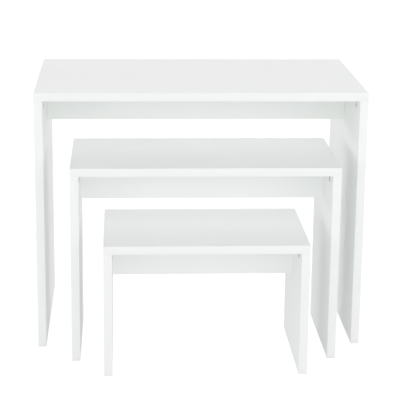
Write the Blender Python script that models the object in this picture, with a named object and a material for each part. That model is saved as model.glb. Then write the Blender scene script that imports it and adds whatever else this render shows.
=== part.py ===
"""Three white nesting tables, each a kit of flat-pack boards and knock-down fittings. Metres, +Z up.

Every table is a top board on two full-depth side boards, with an upright rail across the space under the top.
Cams let into the side boards pull them up against the top, by bolts in its underside. The same cam and bolt
and a wood dowel hold each end of the rail. Plastic glides are nailed under the side boards.

The origin is on the floor, in the middle of the set's footprint. The front is -Y. Each table hangs under an
empty on the floor at its own middle, and slides along Y.
"""

from collections import namedtuple
from math import cos, pi, radians, sin

import bmesh
import bpy
from mathutils import Matrix, Vector

Table = namedtuple("Table", "name width depth height rail_height right forward")
Hole = namedtuple("Hole", "mouth inward radius depth segments")

# The set. right and forward are each table's steps from the large table, as the set stands.
LARGE = Table("large", 1.0, 0.6, 0.8, 0.115, 0.0, 0.0)
MIDDLE = Table("middle", 0.8, 0.4, 0.6, 0.115, 0.008, 0.123)
SMALL = Table("small", 0.6, 0.4, 0.4, 0.12, 0.006, 0.246)

# Boards
BOARD = 0.025
EDGE_RADIUS = 0.0005
EDGE_STEPS = 2
GAP = 0.0003  # between touching pieces
RAIL_END_GAP = 0.0005

# Cam: a drum let into a board's face, under a rim, near the edge that it closes up
CAM_RADIUS = 0.0075
CAM_DEPTH = 0.017
CAM_RIM_RADIUS = 0.009
CAM_RIM_TOP = GAP + 0.0008
CAM_TO_EDGE = 0.024
CAM_SEGMENTS = 16
CAM_INSET = 0.07  # from a table's front or rear edge
SLOT_PAST_CENTRE = 0.0025
DRIVE_REACH = 0.0045
DRIVE_HALF_WIDTH = 0.001
DRIVE_DEPTH = 0.002

# Cam's bolt, along its own +Z from the face that it is screwed into
BOLT_HEAD_RADIUS = 0.0035
BOLT_NECK_RADIUS = 0.002
BOLT_SHANK_RADIUS = 0.003
BOLT_THREAD_RADIUS = 0.0025
BOLT_TIP_RADIUS = 0.0012
BOLT_THREAD_LENGTH = 0.011
BOLT_TIP_LENGTH = 0.001
BOLT_SHANK_END = 0.016
BOLT_NECK_END = 0.0225
BOLT_HEAD_END = 0.0258
BOLT_BORE_RADIUS = 0.004
BOLT_SEGMENTS = 10

# Rail fittings, below the rail's upper edge
RAIL_CONNECTOR_DROP = 0.04
RAIL_DOWEL_DROP = 0.08
DOWEL_RADIUS = 0.004
DOWEL_LENGTH = 0.035
DOWEL_IN_SIDE = 0.011
DOWEL_CHAMFER = 0.001
DOWEL_SEGMENTS = 12

# Glide: a disc on a nail
GLIDE_RADIUS = 0.01
GLIDE_HEIGHT = 0.0015
GLIDE_CHAMFER = 0.0005
GLIDE_INSET = 0.035
GLIDE_SEGMENTS = 12
NAIL_RADIUS = 0.0012
NAIL_LENGTH = 0.0125
NAIL_TIP_RADIUS = 0.0004
NAIL_TIP_LENGTH = 0.0015
NAIL_HOLE_SEGMENTS = 8

HOLE_END_ROOM = 0.001  # left past the end of a fitting in its blind hole
CUT_OVERRUN = 0.002  # how far a cutter starts outside the face that it enters
SMOOTH_UNDER = radians(35)

ENDS = (("front", -1), ("rear", 1))
SIDES = (("left", -1), ("right", 1))


def clear_scene():
    for obj in list(bpy.data.objects):
        bpy.data.objects.remove(obj)


def make_material(name, colour, roughness, metallic=0.0):
    made = bpy.data.materials.new(name)
    made.use_nodes = True
    shader = made.node_tree.nodes["Principled BSDF"]
    shader.inputs["Base Color"].default_value = (*colour, 1.0)
    shader.inputs["Roughness"].default_value = roughness
    shader.inputs["Metallic"].default_value = metallic
    return made


def make_object(name, mesh, material, table, location=(0, 0, 0), rotation=None):
    """An object under a table's empty, at a place in that table's own coordinates."""
    data = bpy.data.meshes.new(name)
    mesh.to_mesh(data)
    mesh.free()
    if material:
        data.materials.append(material)
    obj = bpy.data.objects.new(name, data)
    bpy.context.scene.collection.objects.link(obj)
    obj.parent = table
    obj.location = location
    if rotation:
        obj.rotation_euler = rotation.to_euler()
    return obj


def shade_round(obj):
    obj.data.shade_smooth()
    obj.data.set_sharp_from_angle(angle=SMOOTH_UNDER)
    return obj


def hide_tool(obj):
    obj.hide_render = True
    obj.display_type = "WIRE"
    return obj


def add_boolean(obj, tool, operation):
    modifier = obj.modifiers.new(tool.name, "BOOLEAN")
    modifier.operation = operation
    modifier.solver = "EXACT"
    modifier.object = tool


def towards(direction):
    """A rotation that turns +Z to a direction."""
    return Vector(direction).to_track_quat("Z", "Y")


# Shapes


def box_mesh(size):
    mesh = bmesh.new()
    bmesh.ops.create_cube(mesh, size=1.0, matrix=Matrix.Diagonal((*size, 1.0)))
    return mesh


def turned_mesh(profile, segments):
    """A solid turned about Z from (radius, height) points, from the bottom up, with flat ends."""
    mesh = bmesh.new()
    turns = [2 * pi * step / segments for step in range(segments)]
    rings = [
        [mesh.verts.new((radius * cos(turn), radius * sin(turn), height)) for turn in turns]
        for radius, height in profile
    ]
    for lower, upper in zip(rings, rings[1:]):
        for here in range(segments):
            after = (here + 1) % segments
            mesh.faces.new((lower[here], lower[after], upper[after], upper[here]))
    mesh.faces.new(reversed(rings[0]))
    mesh.faces.new(rings[-1])
    return mesh


def prism_mesh(outline, bottom, top):
    """A solid with an outline of anticlockwise (x, y) points, between two heights."""
    mesh = bmesh.new()
    lower = [mesh.verts.new((x, y, bottom)) for x, y in outline]
    base = mesh.faces.new(lower)
    raised = bmesh.ops.extrude_face_region(mesh, geom=[base])
    upper = [item for item in raised["geom"] if isinstance(item, bmesh.types.BMVert)]
    bmesh.ops.translate(mesh, verts=upper, vec=(0, 0, top - bottom))
    bmesh.ops.recalc_face_normals(mesh, faces=mesh.faces)
    return mesh


def cross_outline(reach, half_width):
    """A plus sign, as three corners repeated by quarter turns."""
    corners = [(half_width, half_width), (half_width, reach), (-half_width, reach)]
    outline = []
    for quarter in range(4):
        turn = Matrix.Rotation(quarter * pi / 2, 2)
        outline += [tuple(turn @ Vector(corner)) for corner in corners]
    return outline


def bolt_mesh():
    """The bolt's head is its lowest end, and its thread its highest."""
    thread_end = BOLT_THREAD_LENGTH - BOLT_TIP_LENGTH
    profile = [
        (BOLT_HEAD_RADIUS, -BOLT_HEAD_END),
        (BOLT_HEAD_RADIUS, -BOLT_NECK_END),
        (BOLT_NECK_RADIUS, -BOLT_NECK_END),
        (BOLT_NECK_RADIUS, -BOLT_SHANK_END),
        (BOLT_SHANK_RADIUS, -BOLT_SHANK_END),
        (BOLT_SHANK_RADIUS, -GAP),
        (BOLT_THREAD_RADIUS, -GAP),
        (BOLT_THREAD_RADIUS, thread_end),
        (BOLT_TIP_RADIUS, BOLT_THREAD_LENGTH),
    ]
    return turned_mesh(profile, BOLT_SEGMENTS)


def drill(board, kind, holes, table):
    """Cuts round blind holes that don't meet into a board, by one hidden cutter in the table's coordinates."""
    mesh = bmesh.new()
    for hole in holes:
        inward = Vector(hole.inward)
        length = hole.depth + CUT_OVERRUN
        middle = Vector(hole.mouth) + inward * (length / 2 - CUT_OVERRUN)
        bmesh.ops.create_cone(
            mesh,
            cap_ends=True,
            segments=hole.segments,
            radius1=hole.radius,
            radius2=hole.radius,
            depth=length,
            matrix=Matrix.Translation(middle) @ towards(inward).to_matrix().to_4x4(),
        )
    cutter = hide_tool(make_object(f"{board.name}_{kind}", mesh, None, table))
    add_boolean(board, cutter, "DIFFERENCE")


def bolt_hole(mouth, inward):
    depth = BOLT_THREAD_LENGTH + HOLE_END_ROOM
    return Hole(mouth, inward, BOLT_THREAD_RADIUS + GAP, depth, BOLT_SEGMENTS)


def cam_hole(mouth, inward):
    return Hole(mouth, inward, CAM_RADIUS + GAP, CAM_DEPTH + GAP, CAM_SEGMENTS)


def bolt_bore(mouth, inward):
    """A bolt's way through its board's edge, to the middle of its cam's hole."""
    return Hole(mouth, inward, BOLT_BORE_RADIUS, CAM_TO_EDGE, BOLT_SEGMENTS)


# One table


def board(name, size, centre, is_rounded, materials, table):
    """A board whose edges are rounded where is_rounded says so of an edge's middle."""
    mesh = box_mesh(size)
    edges = [edge for edge in mesh.edges if is_rounded((edge.verts[0].co + edge.verts[1].co) / 2)]
    bmesh.ops.bevel(
        mesh, geom=edges, offset=EDGE_RADIUS, segments=EDGE_STEPS, profile=0.5, affect="EDGES"
    )
    return shade_round(make_object(name, mesh, materials["melamine"], table, centre))


def top_board(spec, materials, table):
    size = Vector((spec.width, spec.depth, BOARD))
    centre = Vector((0, 0, spec.height - BOARD / 2))
    made = board(
        f"{spec.name}_top", size, centre, lambda middle: middle.z > -BOARD / 2, materials, table
    )
    underside = spec.height - BOARD
    holes = [
        bolt_hole((side * connector_x(spec), end * connector_y(spec), underside), (0, 0, 1))
        for _, side in SIDES
        for _, end in ENDS
    ]
    drill(made, "holes", holes, table)


def connector_x(spec):
    """How far from the table's middle plane its bolts and glides stand: half way into the side boards."""
    return (spec.width - BOARD) / 2


def connector_y(spec):
    return spec.depth / 2 - CAM_INSET


def side_top(spec):
    return spec.height - BOARD - GAP


def glide_spots(spec):
    """(name, x, y) of each glide."""
    y = spec.depth / 2 - GLIDE_INSET
    return [
        (f"{spec.name}_glide_{end}_{side}", side_sign * connector_x(spec), end_sign * y)
        for side, side_sign in SIDES
        for end, end_sign in ENDS
    ]


def side_board(spec, side, sign, materials, table):
    bottom = GLIDE_HEIGHT + GAP
    top = side_top(spec)
    size = Vector((BOARD, spec.depth, top - bottom))
    centre = Vector((sign * (spec.width - BOARD) / 2, 0, (top + bottom) / 2))
    made = board(
        f"{spec.name}_side_{side}",
        size,
        centre,
        lambda middle: middle.z < size.z / 2,
        materials,
        table,
    )
    inner = sign * (spec.width / 2 - BOARD)
    into = (sign, 0, 0)
    holes = [bolt_hole((inner, 0, top - RAIL_CONNECTOR_DROP), into)]
    bores = []
    for _, end in ENDS:
        y = end * connector_y(spec)
        holes.append(cam_hole((inner, y, top - CAM_TO_EDGE), into))
        bores.append(bolt_bore((sign * connector_x(spec), y, top), (0, 0, -1)))
    dowel_depth = DOWEL_IN_SIDE + HOLE_END_ROOM
    dowel_mouth = (inner, 0, top - RAIL_DOWEL_DROP)
    holes.append(Hole(dowel_mouth, into, DOWEL_RADIUS + GAP, dowel_depth, DOWEL_SEGMENTS))
    nail_depth = NAIL_LENGTH + HOLE_END_ROOM
    holes += [
        Hole((x, y, bottom), (0, 0, 1), NAIL_RADIUS + GAP, nail_depth, NAIL_HOLE_SEGMENTS)
        for _, x, y in glide_spots(spec)
        if x * sign > 0
    ]
    drill(made, "holes", holes, table)
    drill(made, "bores", bores, table)


def rail_end(spec):
    """How far from the table's middle plane the rail ends."""
    return spec.width / 2 - BOARD - RAIL_END_GAP


def rail(spec, materials, table):
    top = side_top(spec)
    size = Vector((2 * rail_end(spec), BOARD, spec.rail_height))
    centre = Vector((0, 0, top - spec.rail_height / 2))

    def is_rounded(middle):
        return middle.z < 0 and abs(middle.x) < size.x / 4

    made = board(f"{spec.name}_rail", size, centre, is_rounded, materials, table)
    holes = []
    bores = []
    for _, sign in SIDES:
        end_x = sign * rail_end(spec)
        inward = (-sign, 0, 0)
        cam_z = top - RAIL_CONNECTOR_DROP
        holes.append(cam_hole((end_x - sign * CAM_TO_EDGE, BOARD / 2, cam_z), (0, -1, 0)))
        bores.append(bolt_bore((end_x, 0, cam_z), inward))
        depth = DOWEL_LENGTH - DOWEL_IN_SIDE - RAIL_END_GAP + HOLE_END_ROOM
        mouth = (end_x, 0, top - RAIL_DOWEL_DROP)
        holes.append(Hole(mouth, inward, DOWEL_RADIUS + GAP, depth, DOWEL_SEGMENTS))
    drill(made, "holes", holes, table)
    drill(made, "bores", bores, table)


def cam(name, spot, outward, materials, table):
    """A cam in its board, with its rim on the board's face and a cross for the screwdriver."""
    turn = towards(outward)
    profile = [
        (CAM_RADIUS, -CAM_DEPTH),
        (CAM_RADIUS, GAP),
        (CAM_RIM_RADIUS, GAP),
        (CAM_RIM_RADIUS, CAM_RIM_TOP),
    ]
    mesh = turned_mesh(profile, CAM_SEGMENTS)
    made = shade_round(make_object(name, mesh, materials["zinc"], table, spot, turn))

    outline = cross_outline(DRIVE_REACH, DRIVE_HALF_WIDTH)
    drive = prism_mesh(outline, CAM_RIM_TOP - DRIVE_DEPTH, CAM_RIM_TOP + CUT_OVERRUN)
    cutter = hide_tool(make_object(name + "_drive", drive, None, table, spot, turn))
    add_boolean(made, cutter, "DIFFERENCE")
    return made


def top_connector(spec, side, sign, end, end_sign, materials, table):
    """The cam in a side board, and the bolt that hangs into it from the top board."""
    place = f"{end}_{side}"
    inner = sign * (spec.width / 2 - BOARD)
    y = end_sign * connector_y(spec)
    centre_z = side_top(spec) - CAM_TO_EDGE
    made = cam(f"{spec.name}_cam_{place}", (inner, y, centre_z), (-sign, 0, 0), materials, table)

    radius = BOLT_HEAD_RADIUS + GAP
    profile = [(radius, -SLOT_PAST_CENTRE), (radius, CAM_RIM_RADIUS)]
    slot = turned_mesh(profile, BOLT_SEGMENTS)
    slot_spot = (sign * connector_x(spec), y, centre_z)
    cutter = hide_tool(make_object(f"{made.name}_slot", slot, None, table, slot_spot))
    add_boolean(made, cutter, "DIFFERENCE")

    bolt_spot = (sign * connector_x(spec), y, spec.height - BOARD)
    name = f"{spec.name}_bolt_{place}"
    shade_round(make_object(name, bolt_mesh(), materials["steel"], table, bolt_spot))


def rail_fittings(spec, side, sign, materials, table):
    """The connector and the dowel at one end of the rail. The connector is its cam and bolt in one."""
    inner = sign * (spec.width / 2 - BOARD)
    centre_z = side_top(spec) - RAIL_CONNECTOR_DROP
    spot = (sign * (rail_end(spec) - CAM_TO_EDGE), BOARD / 2, centre_z)
    connector = cam(f"{spec.name}_rail_connector_{side}", spot, (0, 1, 0), materials, table)
    bolt_spot = (inner, 0, centre_z)
    bolt = make_object(
        f"{connector.name}_bolt", bolt_mesh(), None, table, bolt_spot, towards((sign, 0, 0))
    )
    add_boolean(connector, hide_tool(bolt), "UNION")

    inner_end = DOWEL_IN_SIDE - DOWEL_LENGTH
    profile = [
        (DOWEL_RADIUS - DOWEL_CHAMFER, inner_end),
        (DOWEL_RADIUS, inner_end + DOWEL_CHAMFER),
        (DOWEL_RADIUS, DOWEL_IN_SIDE - DOWEL_CHAMFER),
        (DOWEL_RADIUS - DOWEL_CHAMFER, DOWEL_IN_SIDE),
    ]
    dowel = make_object(
        f"{spec.name}_rail_dowel_{side}",
        turned_mesh(profile, DOWEL_SEGMENTS),
        materials["beech"],
        table,
        (inner, 0, side_top(spec) - RAIL_DOWEL_DROP),
        towards((sign, 0, 0)),
    )
    shade_round(dowel)


def glides(spec, materials, table):
    nail_end = GLIDE_HEIGHT + NAIL_LENGTH
    profile = [
        (GLIDE_RADIUS - GLIDE_CHAMFER, 0),
        (GLIDE_RADIUS, GLIDE_CHAMFER),
        (GLIDE_RADIUS, GLIDE_HEIGHT),
        (NAIL_RADIUS, GLIDE_HEIGHT),
        (NAIL_RADIUS, nail_end - NAIL_TIP_LENGTH),
        (NAIL_TIP_RADIUS, nail_end),
    ]
    for name, x, y in glide_spots(spec):
        mesh = turned_mesh(profile, GLIDE_SEGMENTS)
        shade_round(make_object(name, mesh, materials["glide"], table, (x, y, 0)))


def build_table(spec, materials):
    footprint = LARGE.depth + SMALL.forward
    front = SMALL.forward - footprint / 2 - spec.forward
    table = bpy.data.objects.new(f"{spec.name}_table", None)
    bpy.context.scene.collection.objects.link(table)
    table.location = (spec.right, front + spec.depth / 2, 0)

    top_board(spec, materials, table)
    rail(spec, materials, table)
    glides(spec, materials, table)
    for side, sign in SIDES:
        side_board(spec, side, sign, materials, table)
        rail_fittings(spec, side, sign, materials, table)
        for end, end_sign in ENDS:
            top_connector(spec, side, sign, end, end_sign, materials, table)


def main():
    clear_scene()
    materials = {
        "melamine": make_material("melamine", (0.84, 0.86, 0.85), 0.42),
        "zinc": make_material("zinc", (0.42, 0.43, 0.43), 0.4, 1.0),
        "steel": make_material("steel", (0.55, 0.55, 0.55), 0.3, 1.0),
        "beech": make_material("beech", (0.62, 0.42, 0.24), 0.7),
        "glide": make_material("glide", (0.7, 0.7, 0.68), 0.5),
    }
    for spec in (LARGE, MIDDLE, SMALL):
        build_table(spec, materials)


main()
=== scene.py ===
"""The looks of three white nesting tables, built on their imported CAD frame. Metres, +Z up, front at -Y.

Each board is a melamine-faced core with its edge banding as strips of their own, and raw chipboard in its
bores. The fittings are detailed meshes that stand for the CAD's plainer ones.
"""

from math import cos, pi, radians, sin, tau

import bmesh
import bpy
from mathutils import Matrix, Quaternion, Vector


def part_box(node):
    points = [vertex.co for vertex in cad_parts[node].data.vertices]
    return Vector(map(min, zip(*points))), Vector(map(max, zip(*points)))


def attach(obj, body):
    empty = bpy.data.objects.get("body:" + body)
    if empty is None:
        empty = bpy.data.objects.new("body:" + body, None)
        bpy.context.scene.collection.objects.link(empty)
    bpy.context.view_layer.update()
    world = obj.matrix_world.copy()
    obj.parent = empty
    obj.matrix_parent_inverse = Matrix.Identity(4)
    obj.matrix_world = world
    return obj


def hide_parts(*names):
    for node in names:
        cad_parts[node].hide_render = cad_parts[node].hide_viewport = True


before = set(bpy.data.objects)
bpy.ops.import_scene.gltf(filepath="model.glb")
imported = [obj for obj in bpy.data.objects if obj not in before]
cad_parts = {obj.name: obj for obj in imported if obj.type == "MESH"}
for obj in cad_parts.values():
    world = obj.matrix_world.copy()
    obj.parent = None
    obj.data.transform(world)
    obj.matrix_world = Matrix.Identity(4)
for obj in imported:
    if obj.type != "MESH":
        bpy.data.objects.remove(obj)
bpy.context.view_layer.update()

TABLES = ("large", "middle", "small")
SIDES = (("left", -1), ("right", 1))
ENDS = ("front", "rear")
AXES = "xyz"
MM = 0.001

# Boards
BAND = 0.8 * MM  # thickness of the edge banding
BAND_SEAM = 0.04 * MM
BAND_RADIUS = 0.45 * MM
BAND_STEPS = 3
JOINT_CLOSING = 0.25 * MM  # how far a side board is pulled up into the CAD's clearance under its top

# Meshes
HAIRLINE = 0.02 * MM  # between two pieces' faces
ON_FACE = 0.02 * MM  # the most that a vertex on a face is off it
SQUARE_ENOUGH = 1e-3
SLIVER = 0.01 * MM
SMOOTH_UNDER = radians(40)

# Fittings
CAM_RADIUS = 7.5 * MM
CAM_DEPTH = 17 * MM
CAM_RIM_RADIUS = 9 * MM
CAM_RIM_TOP = 1.1 * MM
CAM_DISH = CAM_RIM_TOP - 0.45 * MM
CAM_SEGMENTS = 64
CAM_KINDS = 5  # cams tightened to different turns
CAM_FIRST_TURN = radians(30)
CAM_NEXT_TURN = radians(23)
CROSS_REACH = 3.4 * MM
CROSS_HALF_WIDTH = 0.7 * MM
CROSS_DEPTH = 1.8 * MM
CROSS_TAPER = 0.75
STAR_REACH = 2.3 * MM  # the thin lines between the cross's arms
STAR_HALF_WIDTH = 0.22 * MM
STAR_DEPTH = 0.4 * MM
POINTER_HALF_WIDTH = 0.9 * MM
POINTER_FOOT = 4.4 * MM
POINTER_TIP = 6.2 * MM
POINTER_RELIEF = 0.2 * MM
WAY_IN_SEGMENTS = 32
WAY_IN_PAST_AXIS = 2.5 * MM
CUTTER_TOP = 2 * MM
BOLT_DEPTH = 12.5 * MM
BOLT_HEAD_RADIUS = 3.5 * MM
BOLT_NECK_RADIUS = 2 * MM
BOLT_SHANK_RADIUS = 3 * MM
BOLT_ROOM = 0.3 * MM
BOLT_SEGMENTS = 32
THREAD_CORE = 1.7 * MM
THREAD_DEPTH = 0.75 * MM
THREAD_PITCH = 1.8 * MM
THREAD_HALF_RIDGE = 0.3  # of the pitch
THREAD_LENGTH = 10 * MM
THREAD_ROWS_PER_TURN = 8
DOWEL_RADIUS = 4 * MM
DOWEL_FLUTES = 14
DOWEL_FLUTE_DEPTH = 0.25 * MM
DOWEL_CHAMFER = MM
DOWEL_SEGMENTS = 6 * DOWEL_FLUTES
GLIDE_HEIGHT = 1.5 * MM
GLIDE_RADIUS = 10 * MM
GLIDE_SEGMENTS = 64
NAIL_LENGTH = 12.5 * MM
NAIL_RADIUS = 1.2 * MM
NAIL_SEGMENTS = 24


# Mesh tools


def smooth_round_faces(data):
    data.shade_smooth()
    data.set_sharp_from_angle(angle=SMOOTH_UNDER)


def finished(name, mesh):
    """A bmesh as an object in the scene, with its round faces smooth."""
    data = bpy.data.meshes.new(name)
    mesh.to_mesh(data)
    mesh.free()
    smooth_round_faces(data)
    obj = bpy.data.objects.new(name, data)
    bpy.context.scene.collection.objects.link(obj)
    return obj


def boolean(mesh_object, tool, operation):
    """Applies a Boolean to mesh_object, clears the slivers that it leaves, and removes the tool."""
    modifier = mesh_object.modifiers.new("cut", "BOOLEAN")
    modifier.operation = operation
    modifier.solver = "EXACT"
    modifier.object = tool
    graph = bpy.context.evaluated_depsgraph_get()
    cut = bpy.data.meshes.new_from_object(mesh_object.evaluated_get(graph))
    mesh_object.modifiers.remove(modifier)
    mesh_object.data = cut
    mesh = bmesh.new()
    mesh.from_mesh(cut)
    bmesh.ops.dissolve_degenerate(mesh, dist=SLIVER, edges=mesh.edges)
    mesh.to_mesh(cut)
    mesh.free()
    bpy.data.objects.remove(tool)


def box_bmesh(low, high):
    mesh = bmesh.new()
    size = Matrix.Diagonal((*(high - low), 1))
    bmesh.ops.create_cube(mesh, size=1, matrix=Matrix.Translation((low + high) / 2) @ size)
    return mesh


def ring_stack(rings, segments):
    """A closed solid of rings about Z, from the bottom up: (height, radius) or (height, radius at a turn)."""
    mesh = bmesh.new()
    turns = [tau * step / segments for step in range(segments)]
    rows = []
    for height, radius in rings:
        row = []
        for turn in turns:
            reach = radius(turn) if callable(radius) else radius
            row.append(mesh.verts.new((reach * cos(turn), reach * sin(turn), height)))
        rows.append(row)
    for lower, upper in zip(rows, rows[1:]):
        for here in range(segments):
            after = (here + 1) % segments
            mesh.faces.new((lower[here], lower[after], upper[after], upper[here]))
    mesh.faces.new(reversed(rows[0]))
    mesh.faces.new(rows[-1])
    return mesh


def prism(outline, bottom, top, taper=1.0):
    """A solid on an anticlockwise outline, whose lower end is scaled by taper."""
    mesh = bmesh.new()
    lower = [mesh.verts.new((taper * x, taper * y, bottom)) for x, y in outline]
    upper = [mesh.verts.new((x, y, top)) for x, y in outline]
    mesh.faces.new(reversed(lower))
    mesh.faces.new(upper)
    for here in range(len(outline)):
        after = (here + 1) % len(outline)
        mesh.faces.new((lower[here], lower[after], upper[after], upper[here]))
    return mesh


def facing(outward, flat):
    """The rotation that turns +Z and +Y to two directions."""
    z_axis = Vector(outward)
    y_axis = Vector(flat)
    return Matrix((y_axis.cross(z_axis), y_axis, z_axis)).transposed().to_quaternion()


# Material tools


class Paint:
    """A Principled material, with the few kinds of node that the looks here are made of."""

    def __init__(self, name, metallic=0.0, **sockets):
        self.material = bpy.data.materials.new(name)
        self.material.use_nodes = True
        self.nodes = self.material.node_tree.nodes
        self.links = self.material.node_tree.links
        self.shader = self.nodes["Principled BSDF"]
        self.shader.inputs["Metallic"].default_value = metallic
        for socket, value in sockets.items():
            self.shader.inputs[socket.replace("_", " ")].default_value = value
        self.place = self.nodes.new("ShaderNodeTexCoord").outputs["Object"]

    def noise(self, size, detail=2.0, stretch=(1, 1, 1)):
        """Noise whose lumps are about size metres across, drawn out along an axis by a stretch above 1."""
        mapping = self.nodes.new("ShaderNodeMapping")
        mapping.inputs["Scale"].default_value = [1 / factor for factor in stretch]
        self.links.new(self.place, mapping.inputs["Vector"])
        texture = self.nodes.new("ShaderNodeTexNoise")
        texture.inputs["Scale"].default_value = 1 / size
        texture.inputs["Detail"].default_value = detail
        self.links.new(mapping.outputs["Vector"], texture.inputs["Vector"])
        return texture.outputs["Fac"]

    def cells(self, size):
        """Flat-toned cells of about size metres, as (tone, distance to the cell's middle)."""
        texture = self.nodes.new("ShaderNodeTexVoronoi")
        texture.inputs["Scale"].default_value = 1 / size
        self.links.new(self.place, texture.inputs["Vector"])
        split = self.nodes.new("ShaderNodeSeparateColor")
        self.links.new(texture.outputs["Color"], split.inputs["Color"])
        return split.outputs["Red"], texture.outputs["Distance"]

    def height(self):
        split = self.nodes.new("ShaderNodeSeparateXYZ")
        self.links.new(self.place, split.inputs["Vector"])
        return split.outputs["Z"]

    def remap(self, value, low, high, to_low=0.0, to_high=1.0):
        node = self.nodes.new("ShaderNodeMapRange")
        limits = {"From Min": low, "From Max": high, "To Min": to_low, "To Max": to_high}
        for socket, number in limits.items():
            node.inputs[socket].default_value = number
        self.links.new(value, node.inputs["Value"])
        return node.outputs["Result"]

    def multiply(self, first, second):
        node = self.nodes.new("ShaderNodeMath")
        node.operation = "MULTIPLY"
        self.links.new(first, node.inputs[0])
        self.links.new(second, node.inputs[1])
        return node.outputs["Value"]

    def ramp(self, value, *stops):
        """A colour for each value: stops are (value, (r, g, b))."""
        node = self.nodes.new("ShaderNodeValToRGB")
        elements = node.color_ramp.elements
        while len(elements) < len(stops):
            elements.new(0.5)
        for element, (position, colour) in zip(elements, stops):
            element.position = position
            element.color = (*colour, 1)
        self.links.new(value, node.inputs["Fac"])
        return node.outputs["Color"]

    def mix(self, factor, first, second_colour):
        node = self.nodes.new("ShaderNodeMix")
        node.data_type = "RGBA"
        self.links.new(factor, node.inputs["Factor"])
        self.links.new(first, node.inputs["A"])
        node.inputs["B"].default_value = (*second_colour, 1)
        return node.outputs["Result"]

    def colour(self, value):
        self.links.new(value, self.shader.inputs["Base Color"])

    def roughness(self, value):
        self.links.new(value, self.shader.inputs["Roughness"])

    def bump(self, *layers):
        """Surface relief: each layer is (value, height in metres)."""
        normal = None
        for value, relief in layers:
            node = self.nodes.new("ShaderNodeBump")
            node.inputs["Distance"].default_value = relief
            self.links.new(value, node.inputs["Height"])
            if normal:
                self.links.new(normal, node.inputs["Normal"])
            normal = node.outputs["Normal"]
        self.links.new(normal, self.shader.inputs["Normal"])


WHITE_LOW = (0.857, 0.889, 0.867)
WHITE_HIGH = (0.877, 0.908, 0.887)
# Painted shade: the grey mixed into the boards' lowest 20 mm, near the floor, and how high it reaches
PAINTED_FLOOR_SHADE = (0.66, 0.67, 0.65)
PAINTED_SHADE_HEIGHT = 0.02


def add_painted_floor_shade(paint, colour):
    """Painted shade: faint grey patches that darken a board where it comes near the floor."""
    low_down = paint.remap(paint.height(), 0.0, PAINTED_SHADE_HEIGHT, 1.0, 0.0)
    shade_patches = paint.remap(paint.noise(0.012, 3), 0.35, 0.7, 0.1, 0.75)
    return paint.mix(paint.multiply(low_down, shade_patches), colour, PAINTED_FLOOR_SHADE)


def melamine():
    """White decor paper under melamine: a satin face pressed with a fine pearl relief."""
    paint = Paint("melamine_white", IOR=1.5)
    clouds = paint.ramp(paint.noise(0.22, 3), (0.3, WHITE_LOW), (0.7, WHITE_HIGH))
    # random white tone, with painted shade darkening it near the floor
    paint.colour(add_painted_floor_shade(paint, clouds))
    paint.roughness(paint.remap(paint.noise(0.05, 4), 0.3, 0.7, 0.40, 0.50))
    paint.bump((paint.noise(0.0012, 1), 0.03 * MM), (paint.noise(0.0045, 2), 0.06 * MM))
    return paint.material


def banding():
    """White plastic edging: smoother than the faces, with faint scraper lines along it."""
    paint = Paint("edge_banding_white", IOR=1.5)
    clouds = paint.ramp(paint.noise(0.18, 2), (0.3, WHITE_LOW), (0.7, WHITE_HIGH))
    # random white tone, with painted shade darkening it near the floor
    paint.colour(add_painted_floor_shade(paint, clouds))
    paint.roughness(paint.remap(paint.noise(0.03, 3), 0.3, 0.7, 0.32, 0.40))
    paint.bump((paint.noise(0.0009, 2, stretch=(30, 30, 30)), 0.05 * MM), (paint.noise(0.002, 2), 0.01 * MM))
    return paint.material


def chipboard():
    """Raw pressed wood chips, inside bores and on unbanded edges."""
    paint = Paint("chipboard_raw")
    tone, distance = paint.cells(0.0018)
    chips = paint.ramp(tone, (0.0, (0.30, 0.19, 0.10)), (0.5, (0.47, 0.33, 0.19)), (1.0, (0.62, 0.47, 0.30)))
    paint.colour(chips)
    paint.roughness(paint.remap(tone, 0, 1, 0.75, 0.9))
    paint.bump((distance, 0.15 * MM), (paint.noise(0.0006, 3), 0.05 * MM))
    return paint.material


def zinc():
    """Die-cast zinc with a dull grey skin."""
    paint = Paint("zinc_cast", metallic=1.0)
    paint.colour(paint.ramp(paint.noise(0.003, 3), (0.3, (0.24, 0.25, 0.26)), (0.7, (0.33, 0.34, 0.35))))
    paint.roughness(paint.remap(paint.noise(0.0015, 3), 0.3, 0.7, 0.38, 0.55))
    paint.bump((paint.noise(0.0004, 2), 0.01 * MM))
    return paint.material


def steel():
    """Zinc-plated steel, drawn along the shank."""
    paint = Paint("steel_plated", metallic=1.0)
    paint.colour(paint.ramp(paint.noise(0.002, 3), (0.3, (0.50, 0.52, 0.54)), (0.7, (0.64, 0.65, 0.66))))
    paint.roughness(paint.remap(paint.noise(0.001, 2, stretch=(1, 1, 12)), 0.3, 0.7, 0.25, 0.4))
    paint.bump((paint.noise(0.0003, 1, stretch=(1, 1, 12)), 0.005 * MM))
    return paint.material


def beech():
    """Turned beech, with its grain and dark flecks along the dowel."""
    paint = Paint("beech_raw")
    grain = paint.noise(0.0012, 4, stretch=(1, 1, 18))
    paint.colour(
        paint.ramp(grain, (0.3, (0.50, 0.32, 0.18)), (0.55, (0.66, 0.46, 0.28)), (0.75, (0.72, 0.53, 0.34)))
    )
    paint.roughness(paint.remap(grain, 0.3, 0.7, 0.6, 0.75))
    paint.bump((grain, 0.05 * MM))
    return paint.material


def glide_plastic():
    """Moulded off-white plastic, a little scratched underneath."""
    paint = Paint("glide_plastic", IOR=1.5)
    paint.colour(paint.ramp(paint.noise(0.006, 3), (0.3, (0.60, 0.60, 0.57)), (0.7, (0.69, 0.69, 0.66))))
    paint.roughness(paint.remap(paint.noise(0.003, 3), 0.3, 0.7, 0.42, 0.6))
    paint.bump((paint.noise(0.0005, 2), 0.02 * MM))
    return paint.material


MATERIALS = {
    "melamine": melamine(),
    "banding": banding(),
    "chipboard": chipboard(),
    "zinc": zinc(),
    "steel": steel(),
    "beech": beech(),
    "glide": glide_plastic(),
}


# Boards


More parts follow.
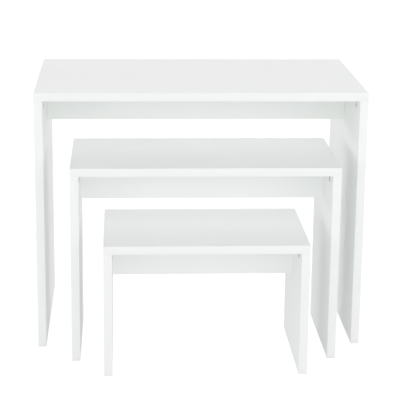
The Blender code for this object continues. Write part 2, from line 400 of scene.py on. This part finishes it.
def board_core(node, banded):
    """The CAD board less its banding, as an object with its bores. banded lists (axis, sign) faces."""
    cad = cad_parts[node]
    core = bpy.data.objects.new(node + "_board", cad.data.copy())
    bpy.context.scene.collection.objects.link(core)
    low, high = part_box(node)
    keep_low = low - Vector((MM, MM, MM))
    keep_high = high + Vector((MM, MM, MM))
    for axis, sign in banded:
        index = AXES.index(axis)
        if sign < 0:
            keep_low[index] = low[index] + BAND
        else:
            keep_high[index] = high[index] - BAND
    tool = finished("keep", box_bmesh(keep_low, keep_high))
    boolean(core, tool, "INTERSECT")
    return core


def paint_core(core, broad_axis):
    """Melamine on the two broad faces, and raw chipboard on the narrow ones and in the bores."""
    index = AXES.index(broad_axis)
    places = [vertex.co[index] for vertex in core.data.vertices]
    faces_at = (min(places), max(places))
    core.data.materials.clear()
    core.data.materials.append(MATERIALS["melamine"])
    core.data.materials.append(MATERIALS["chipboard"])
    for polygon in core.data.polygons:
        is_square = abs(abs(polygon.normal[index]) - 1) < SQUARE_ENOUGH
        is_broad = is_square and min(abs(polygon.center[index] - at) for at in faces_at) < ON_FACE
        polygon.material_index = 0 if is_broad else 1
        polygon.use_smooth = False


def band_strip(low, high, axis, sign):
    """One strip of banding, with the edges of its outer face rounded."""
    strip = box_bmesh(low, high)
    index = AXES.index(axis)
    outer = high[index] if sign > 0 else low[index]
    rim = [edge for edge in strip.edges if all(abs(v.co[index] - outer) < ON_FACE for v in edge.verts)]
    bmesh.ops.bevel(strip, geom=rim, offset=BAND_RADIUS, segments=BAND_STEPS, profile=0.5, affect="EDGES")
    return strip


def board_banding(node, banded, joint_rise):
    """All of a board's strips in one object. A strip runs past the ends of those listed before it."""
    low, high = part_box(node)
    joined = bmesh.new()
    for order, (axis, sign) in enumerate(banded):
        index = AXES.index(axis)
        strip_low = low.copy()
        strip_high = high.copy()
        if sign > 0:
            strip_low[index] = high[index] - BAND + BAND_SEAM
        else:
            strip_high[index] = low[index] + BAND - BAND_SEAM
        for later_axis, later_sign in banded[order + 1 :]:
            later = AXES.index(later_axis)
            if later == index:
                continue
            if later_sign > 0:
                strip_high[later] = high[later] - BAND
            else:
                strip_low[later] = low[later] + BAND
        if axis != "z":
            strip_high.z += joint_rise
        strip = band_strip(strip_low, strip_high, axis, sign)
        holder = bpy.data.meshes.new("strip")
        strip.to_mesh(holder)
        strip.free()
        joined.from_mesh(holder)
        bpy.data.meshes.remove(holder)
    obj = finished(node + "_banding", joined)
    obj.data.materials.append(MATERIALS["banding"])
    return obj


def dress_board(body, node, banded, broad_axis, joint_rise=0.0):
    """A board's core and its banding, with the upper ends raised by joint_rise to close the joint there."""
    core = board_core(node, banded)
    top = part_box(node)[1].z
    for vertex in core.data.vertices:
        if top - vertex.co.z < ON_FACE:
            vertex.co.z += joint_rise
    paint_core(core, broad_axis)
    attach(core, body)
    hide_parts(node)
    strips = board_banding(node, banded, joint_rise)
    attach(strips, body)


def dress_boards(table):
    """A table's four boards, each with its banded edges in the order that they are banded in."""
    ends_then_long = [("x", -1), ("x", 1), ("y", -1), ("y", 1)]
    foot_then_long = [("z", -1), ("y", -1), ("y", 1)]
    dress_board(table, f"{table}_top", ends_then_long, "z")
    dress_board(table, f"{table}_rail", [("z", -1)], "y")
    for side, _ in SIDES:
        dress_board(table, f"{table}_side_{side}", foot_then_long, "x", JOINT_CLOSING)


# Fittings, each made once. +Z points out of the board's face, and +Y to the edge that the fitting closes up.


def cross_outline(reach, half_width):
    corners = [(half_width, half_width), (half_width, reach), (-half_width, reach)]
    outline = []
    for quarter in range(4):
        turn = Matrix.Rotation(quarter * pi / 2, 2)
        outline += [tuple(turn @ Vector(corner)) for corner in corners]
    return outline


def only_mesh(obj):
    """The object's mesh, with round faces smooth, once the object itself has gone."""
    data = obj.data
    smooth_round_faces(data)
    bpy.data.objects.remove(obj)
    return data


def cam_mesh(drive_turn):
    """A cast drum under a rim, with a dished face, a cross for the screwdriver, and a way in for the bolt."""
    rings = [
        (-CAM_DEPTH, CAM_RADIUS - 0.4 * MM),
        (-CAM_DEPTH + 0.4 * MM, CAM_RADIUS),
        (HAIRLINE, CAM_RADIUS),
        (HAIRLINE, CAM_RIM_RADIUS - 0.1 * MM),
        (0.15 * MM, CAM_RIM_RADIUS),
        (CAM_RIM_TOP - 0.4 * MM, CAM_RIM_RADIUS),
        (CAM_RIM_TOP - 0.12 * MM, CAM_RIM_RADIUS - 0.12 * MM),
        (CAM_RIM_TOP, CAM_RIM_RADIUS - 0.4 * MM),
        (CAM_RIM_TOP, CAM_RADIUS - 0.5 * MM),
        (CAM_RIM_TOP - 0.12 * MM, CAM_RADIUS - 0.7 * MM),
        (CAM_DISH, CAM_RADIUS - 1.0 * MM),
    ]
    cam = finished("cam", ring_stack(rings, CAM_SEGMENTS))
    cross = prism(cross_outline(CROSS_REACH, CROSS_HALF_WIDTH), -CROSS_DEPTH, CUTTER_TOP, CROSS_TAPER)
    star = prism(cross_outline(STAR_REACH, STAR_HALF_WIDTH), -STAR_DEPTH, CUTTER_TOP)
    pointer_outline = [
        (-POINTER_HALF_WIDTH, POINTER_FOOT),
        (POINTER_HALF_WIDTH, POINTER_FOOT),
        (0, POINTER_TIP),
    ]
    pointer = prism(pointer_outline, CAM_DISH - POINTER_RELIEF, CAM_DISH + POINTER_RELIEF)
    eighth_turn = pi / 4
    for mesh, turn, operation in (
        (cross, drive_turn, "DIFFERENCE"),
        (star, drive_turn + eighth_turn, "DIFFERENCE"),
        (pointer, drive_turn, "UNION"),
    ):
        tool = finished("tool", mesh)
        tool.matrix_world = Matrix.Rotation(turn, 4, "Z")
        boolean(cam, tool, operation)
    room = BOLT_HEAD_RADIUS + BOLT_ROOM
    way_in_rings = [(-WAY_IN_PAST_AXIS, room), (CAM_RIM_RADIUS, room)]
    way_in = finished("way_in", ring_stack(way_in_rings, WAY_IN_SEGMENTS))
    depth = Matrix.Translation((0, 0, -BOLT_DEPTH))
    half_segment = Matrix.Rotation(pi / WAY_IN_SEGMENTS, 4, "Z")  # keeps its corners off the cam's
    way_in.matrix_world = depth @ Matrix.Rotation(-pi / 2, 4, "X") @ half_segment
    boolean(cam, way_in, "DIFFERENCE")
    return only_mesh(cam)


def thread_radius(height):
    """A coarse wood thread: a ridge that climbs one pitch a turn."""

    def radius(turn):
        phase = (height / THREAD_PITCH - turn / tau) % 1
        ridge = max(0.0, 1 - abs(phase - 0.5) / THREAD_HALF_RIDGE)
        return THREAD_CORE + THREAD_DEPTH * ridge

    return radius


def bolt_mesh():
    """A cam's bolt, from its head, neck and shank outside its board to the wood thread in it."""
    rings = [
        (-25.8 * MM, BOLT_HEAD_RADIUS - 1.2 * MM),
        (-25.5 * MM, BOLT_HEAD_RADIUS - 0.5 * MM),
        (-25.0 * MM, BOLT_HEAD_RADIUS),
        (-23.6 * MM, BOLT_HEAD_RADIUS),
        (-22.8 * MM, BOLT_HEAD_RADIUS - 0.6 * MM),
        (-22.5 * MM, BOLT_NECK_RADIUS),
        (-17.0 * MM, BOLT_NECK_RADIUS),
        (-16.0 * MM, BOLT_SHANK_RADIUS),
        (-0.8 * MM, BOLT_SHANK_RADIUS),
        (-0.3 * MM, BOLT_SHANK_RADIUS - 0.4 * MM),
    ]
    rows = round(THREAD_LENGTH / THREAD_PITCH * THREAD_ROWS_PER_TURN)
    heights = [THREAD_LENGTH * row / rows for row in range(rows + 1)]
    rings += [(height, thread_radius(height)) for height in heights]
    rings.append((11.0 * MM, 0.6 * MM))
    return only_mesh(finished("bolt", ring_stack(rings, BOLT_SEGMENTS)))


def dowel_mesh(length):
    """A fluted beech dowel with chamfered ends."""

    def fluted(turn):
        return DOWEL_RADIUS - DOWEL_FLUTE_DEPTH * (0.5 + 0.5 * cos(DOWEL_FLUTES * turn))

    half = length / 2
    full = half - DOWEL_CHAMFER
    tip = DOWEL_RADIUS - DOWEL_CHAMFER
    rings = [(-half, tip), (-full, fluted), (full, fluted), (half, tip)]
    return only_mesh(finished("dowel", ring_stack(rings, DOWEL_SEGMENTS)))


def glide_mesh():
    """A moulded glide, standing on the floor, with a dimple where it was moulded over its nail."""
    rings = [
        (0.3 * MM, 1.6 * MM),
        (0.2 * MM, 2.1 * MM),
        (0.0, 2.5 * MM),
        (0.0, 8.4 * MM),
        (0.1 * MM, 9.0 * MM),
        (0.35 * MM, 9.6 * MM),
        (0.7 * MM, GLIDE_RADIUS),
        (1.2 * MM, GLIDE_RADIUS),
        (1.4 * MM, 9.8 * MM),
        (GLIDE_HEIGHT, 9.4 * MM),
    ]
    return only_mesh(finished("glide", ring_stack(rings, GLIDE_SEGMENTS)))


def nail_mesh():
    """The glide's nail, up from the glide to its point."""
    rings = [
        (GLIDE_HEIGHT + HAIRLINE, NAIL_RADIUS),
        (GLIDE_HEIGHT + NAIL_LENGTH - 3.0 * MM, NAIL_RADIUS),
        (GLIDE_HEIGHT + NAIL_LENGTH - 1.3 * MM, 0.8 * MM),
        (GLIDE_HEIGHT + NAIL_LENGTH, 0.2 * MM),
    ]
    return only_mesh(finished("glide_nail", ring_stack(rings, NAIL_SEGMENTS)))


def place(name, data, material, body, at, turn=None, nodes=()):
    """A copy of a fitting's mesh, riding on a body, for the CAD nodes that it stands for."""
    piece = bpy.data.objects.new(name, data)
    bpy.context.scene.collection.objects.link(piece)
    if not data.materials:
        data.materials.append(MATERIALS[material])
    piece.location = at
    if turn:
        piece.rotation_euler = turn.to_euler()
    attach(piece, body)
    if nodes:
        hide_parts(*nodes)


CAMS = [cam_mesh(CAM_FIRST_TURN + kind * CAM_NEXT_TURN) for kind in range(CAM_KINDS)]
BOLT = bolt_mesh()
dowel_low, dowel_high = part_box("large_rail_dowel_left")
DOWEL = dowel_mesh(dowel_high.x - dowel_low.x)
GLIDE = glide_mesh()
NAIL = nail_mesh()


def top_connectors(table, count):
    """The cams under a table's top, and their bolts. count picks the cams' turns."""
    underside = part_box(f"{table}_top")[0].z
    for side, sign in SIDES:
        for end in ENDS:
            spot = f"{end}_{side}"
            node = f"{table}_cam_{spot}"
            low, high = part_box(node)
            face_x = low.x + CAM_RIM_TOP if sign > 0 else high.x - CAM_RIM_TOP
            at = (face_x, (low.y + high.y) / 2, (low.z + high.z) / 2)
            turn = facing((-sign, 0, 0), (0, 0, 1))
            count += 1
            cam = CAMS[count % CAM_KINDS]
            place(node + "_cast", cam, "zinc", table, at, turn, [node])
            node = f"{table}_bolt_{spot}"
            low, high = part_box(node)
            at = ((low.x + high.x) / 2, (low.y + high.y) / 2, underside)
            place(node + "_threaded", BOLT, "steel", table, at, None, [node])


def rail_fittings(table, count):
    """The cam, bolt and dowel at each end of a table's rail."""
    for side, sign in SIDES:
        node = f"{table}_rail_connector_{side}"
        low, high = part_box(node)
        cam_x = low.x + CAM_RIM_RADIUS if sign > 0 else high.x - CAM_RIM_RADIUS
        face_y = high.y - CAM_RIM_TOP
        middle_z = (low.z + high.z) / 2
        turn = facing((0, 1, 0), (sign, 0, 0))
        count += 2
        cam = CAMS[count % CAM_KINDS]
        at = (cam_x, face_y, middle_z)
        place(f"{table}_rail_cam_{side}", cam, "zinc", table, at, turn, [node])
        board_low, board_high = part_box(f"{table}_side_{side}")
        mouth = (board_low.x if sign > 0 else board_high.x, face_y - BOLT_DEPTH, middle_z)
        along = facing((sign, 0, 0), (0, 0, 1))
        place(f"{table}_rail_bolt_{side}", BOLT, "steel", table, mouth, along)
        node = f"{table}_rail_dowel_{side}"
        low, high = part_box(node)
        place(node + "_fluted", DOWEL, "beech", table, (low + high) / 2, along, [node])


def glides(table):
    """The four glides of a table, and their nails."""
    for side, _ in SIDES:
        for end in ENDS:
            node = f"{table}_glide_{end}_{side}"
            low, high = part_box(node)
            at = ((low.x + high.x) / 2, (low.y + high.y) / 2, 0)
            place(node + "_moulded", GLIDE, "glide", table, at, None, [node])
            place(f"{table}_nail_{end}_{side}", NAIL, "steel", table, at)


for table_count, table_name in enumerate(TABLES):
    dress_boards(table_name)
    top_connectors(table_name, table_count)
    rail_fittings(table_name, table_count)
    glides(table_name)


# Studio

FLOOR_HALF_SIZE = 40
FLOOR_GLOW = 0.3
FLOOR_GLOW_SEEN = 0.98
WORLD_GLOW_IN_FRONT = 3.2
WORLD_GLOW_BEHIND = 4.0
WORLD_GLOW_OVERHEAD = 0.32
WORLD_FALLOFF = 3
PICTURE_GAMMA = 2.0

LIGHTS_AIM = Vector((0, 0, 0.4))
SOFTBOXES = (  # name, place, side in metres, watts
    ("front", (0, -3.5, 3.5), 2.5, 10),
    ("left", (-4.5, -1, 1.6), 2, 8.7),
    ("right", (1.6, -2.2, 1.6), 1, 5.5),
)

# From the middle of the large table's front, on the floor
CAMERA_FROM_FRONT = Vector((-0.2374, -4.1811, 1.6166))
CAMERA_YAW = radians(3.207)
CAMERA_PITCH = radians(15.302)
CAMERA_ROLL = radians(0.614)
CAMERA_LENS = 128.84
SENSOR = 36


def make_floor():
    """A plain white floor. It glows a little, and more to the camera than to the tables."""
    mesh = bmesh.new()
    bmesh.ops.create_grid(mesh, x_segments=1, y_segments=1, size=FLOOR_HALF_SIZE)
    floor = finished("floor", mesh)
    paint = Paint("floor_white", Roughness=0.9)
    tone = paint.ramp(paint.noise(0.6, 2), (0.3, (0.24, 0.24, 0.24)), (0.7, (0.26, 0.26, 0.26)))
    paint.colour(tone)
    paint.shader.inputs["Emission Color"].default_value = (1, 1, 1, 1)
    to_camera = paint.nodes.new("ShaderNodeLightPath").outputs["Is Camera Ray"]
    glow = paint.remap(to_camera, 0, 1, FLOOR_GLOW, FLOOR_GLOW_SEEN)
    paint.links.new(glow, paint.shader.inputs["Emission Strength"])
    floor.data.materials.append(paint.material)


def make_world():
    """A white cyclorama: bright low down, a little more so behind the tables, and dim overhead."""
    world = bpy.data.worlds.new("studio")
    world.use_nodes = True
    nodes = world.node_tree.nodes
    links = world.node_tree.links
    direction = nodes.new("ShaderNodeSeparateXYZ")
    links.new(nodes.new("ShaderNodeTexCoord").outputs["Generated"], direction.inputs["Vector"])
    lowness = nodes.new("ShaderNodeMapRange")
    lowness.inputs["From Min"].default_value = 1
    lowness.inputs["From Max"].default_value = 0
    links.new(direction.outputs["Z"], lowness.inputs["Value"])
    falloff = nodes.new("ShaderNodeMath")
    falloff.operation = "POWER"
    falloff.inputs[1].default_value = WORLD_FALLOFF
    links.new(lowness.outputs["Result"], falloff.inputs[0])
    behind = nodes.new("ShaderNodeMapRange")
    behind.inputs["From Min"].default_value = -1
    behind.inputs["To Min"].default_value = WORLD_GLOW_IN_FRONT
    behind.inputs["To Max"].default_value = WORLD_GLOW_BEHIND
    links.new(direction.outputs["Y"], behind.inputs["Value"])
    overhead = nodes.new("ShaderNodeMapRange")
    overhead.inputs["To Max"].default_value = WORLD_GLOW_OVERHEAD
    links.new(direction.outputs["Z"], overhead.inputs["Value"])
    glow = nodes.new("ShaderNodeMath")
    glow.operation = "MULTIPLY_ADD"
    links.new(falloff.outputs["Value"], glow.inputs[0])
    links.new(behind.outputs["Result"], glow.inputs[1])
    links.new(overhead.outputs["Result"], glow.inputs[2])
    links.new(glow.outputs["Value"], nodes["Background"].inputs["Color"])
    bpy.context.scene.world = world


def set_view():
    """Plain sRGB, with the gentle contrast of a high-key studio picture."""
    view = bpy.context.scene.view_settings
    view.view_transform = "Standard"
    view.gamma = PICTURE_GAMMA


def make_softbox(name, at, side, power):
    light = bpy.data.lights.new(name, "AREA")
    light.shape = "SQUARE"
    light.size = side
    light.energy = power
    lamp = bpy.data.objects.new(name, light)
    lamp.location = at
    lamp.rotation_euler = (LIGHTS_AIM - Vector(at)).to_track_quat("-Z", "Y").to_euler()
    bpy.context.scene.collection.objects.link(lamp)


def make_camera():
    low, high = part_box("large_top")
    front = Vector(((low.x + high.x) / 2, low.y, 0))
    level = cos(CAMERA_PITCH)
    aim = Vector((sin(CAMERA_YAW) * level, cos(CAMERA_YAW) * level, -sin(CAMERA_PITCH)))
    data = bpy.data.cameras.new("camera")
    data.lens = CAMERA_LENS
    data.sensor_width = SENSOR
    camera = bpy.data.objects.new("camera", data)
    camera.location = front + CAMERA_FROM_FRONT
    turn = aim.to_track_quat("-Z", "Y") @ Quaternion((0, 0, 1), CAMERA_ROLL)
    camera.rotation_euler = turn.to_euler()
    bpy.context.scene.collection.objects.link(camera)
    bpy.context.scene.camera = camera


make_floor()
make_world()
set_view()
for softbox in SOFTBOXES:
    make_softbox(*softbox)
make_camera()
